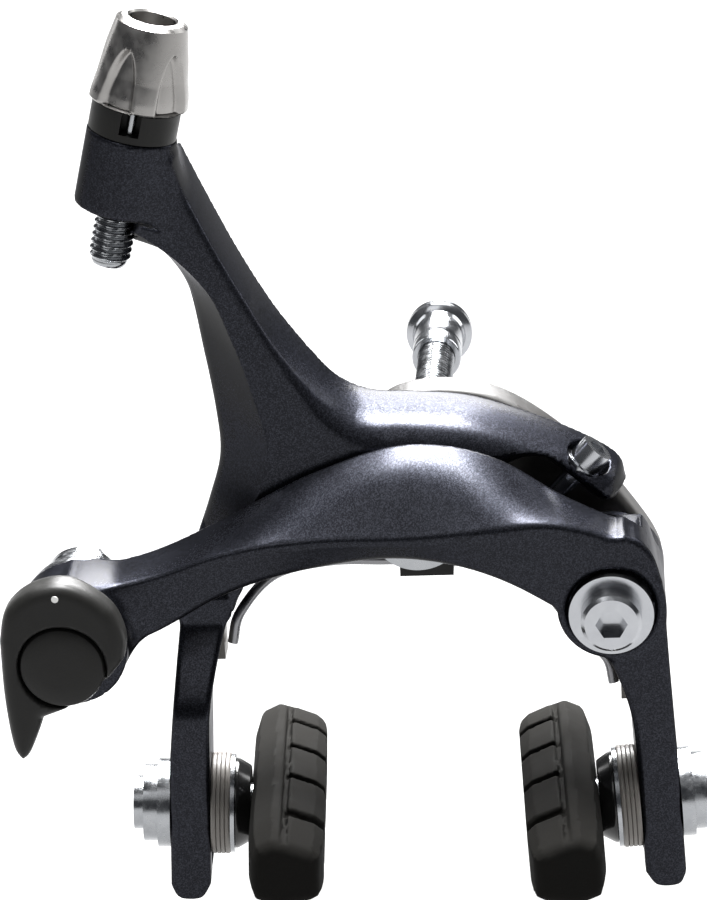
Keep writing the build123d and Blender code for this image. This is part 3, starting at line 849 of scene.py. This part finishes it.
def tube_mesh(points, r, n=14):
    p = curve_points(points, 10)
    along = np.gradient(p, axis=0)
    along /= np.linalg.norm(along, axis=1)[:, None]
    side = np.cross(along, (0, 1, 0.02))
    side /= np.linalg.norm(side, axis=1)[:, None]
    up = np.cross(side, along)
    t = np.arange(n) * PI2 / n
    rings = [c + r * (np.outer(np.cos(t), a) + np.outer(np.sin(t), b)) for c, a, b in zip(p, side, up)]
    verts = np.vstack(rings)
    faces = []
    for i in range(len(p) - 1):
        near, far = i * n, (i + 1) * n
        for k in range(n):
            q = (k + 1) % n
            faces.append((near + k, near + q, far + q, far + k))
    return verts, faces + [tuple(range(n))[::-1], tuple(range((len(p) - 1) * n, len(p) * n))]


def spring():
    middle = (0.5, -5, -10.7)
    left = [(-28.4, -15, -19), (-27, -14.2, -14.4), (-22, -10.4, -10.2)]
    left += [(-14, -6.8, -9.8), (-6, -5.1, -10.6), middle]
    right = [middle, (7, -5.6, -11.2), (12, -9.6, -10.8), (17, -11.2, -12), (20.4, -11.6, -16.4)]
    right += [(23.6, -12.6, -20.2), (27, -14.2, -23.4), (27.9, -15, -27)]
    for name, points, arm in (("spring_left", left[::-1], "rear_arm"), ("spring_right", right, "front_arm")):
        verts, faces = tube_mesh(points, 0.8)
        o = make(name, verts, faces, None, (), 60)
        fix_winding(o)
        tuple(np.array(points[0]) * MM)
        tuple(np.array(points[-1]) * MM)
        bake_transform(o)
        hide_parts("return_spring")
        dress(o, "spring_steel")


shoes()
mounting()
adjuster()
bodywork()
spring()


# ------------------------------------------------------------ floor, lights, camera
def area(name, at, aim, size, power, colour=(1, 1, 1), size_y=None):
    light = bpy.data.lights.new(name, "AREA")
    light.energy, light.size, light.color = power, size, colour
    if size_y:
        light.shape, light.size_y = "RECTANGLE", size_y
    o = link(name, light)
    o.location = at
    o.rotation_euler = (Vector(aim) - Vector(at)).to_track_quat("-Z", "Y").to_euler()
    return o


# Squeezing lowers the left foot by about 4.4 mm, so the floor lies further down than that.
FLOOR_DROP = 0.006


def studio():
    floor_z = CAD_LOW[2] - FLOOR_DROP
    mesh = bpy.data.meshes.new("floor")
    corners = [(-4, -4, floor_z), (4, -4, floor_z), (4, 6, floor_z), (-4, 6, floor_z)]
    mesh.from_pydata(corners, [], [(0, 1, 2, 3)])
    floor = link("floor", mesh)
    look = material("floor_paper", (0.03, 0.03, 0.03), (0.036, 0.036, 0.036), 0.0, 0.85, 30, 0.05, 0.02, 900)
    shader = look.node_tree.nodes["Principled BSDF"]
    shader.inputs["Emission Color"].default_value = (1, 1, 1, 1)
    shader.inputs["Emission Strength"].default_value = 0.93
    floor.data.materials.append(look)
    world = bpy.data.worlds.new("studio")
    bpy.context.scene.world = world
    world.use_nodes = True
    world.node_tree.nodes["Background"].inputs["Color"].default_value = (0.9, 0.93, 1, 1)
    world.node_tree.nodes["Background"].inputs["Strength"].default_value = 0.08
    area("overhead", (0.0, 0.1, 0.6), (0, -0.01, 0.0), 0.36, 34)
    area("high_back", (0.02, 0.46, 0.42), (0, -0.01, 0.01), 0.36, 21)
    area("front_fill", (-0.2, -0.55, 0.6), (0, 0, 0.01), 0.4, 0.8)
    area("left_edge", (-0.5, 0.4, 0.25), (-0.02, -0.01, 0.02), 0.12, 0.4, size_y=0.4)
    area("right_edge", (0.5, 0.35, 0.25), (0.02, -0.01, 0.0), 0.12, 0.8, size_y=0.4)


# Azimuth, elevation and roll in degrees, the point looked at in mm, and its distance in metres.
VIEW_ANGLES = (5.0, 22.2, 3.5)
VIEW_TARGET = (-8.42, -18, 12.54)
VIEW_DISTANCE = 0.519


def camera():
    azimuth, elevation, roll = (math.radians(a) for a in VIEW_ANGLES)
    level = math.cos(elevation)
    back = Vector((math.sin(azimuth) * level, -math.cos(azimuth) * level, math.sin(elevation)))
    right = Vector((math.cos(azimuth), math.sin(azimuth), 0))
    up = back.cross(right)
    across = right * math.cos(roll) - up * math.sin(roll)
    top = right * math.sin(roll) + up * math.cos(roll)
    data = bpy.data.cameras.new("camera")
    data.lens, data.sensor_width = 144, 36
    data.clip_start = 0.01
    o = link("camera", data)
    target = Vector(VIEW_TARGET) * MM
    m = Matrix((across, top, back)).transposed().to_4x4()
    m.translation = target + back * VIEW_DISTANCE
    o.matrix_world = m
    bpy.context.scene.camera = o


studio()
camera()
bpy.context.scene.view_settings.view_transform = "Standard"
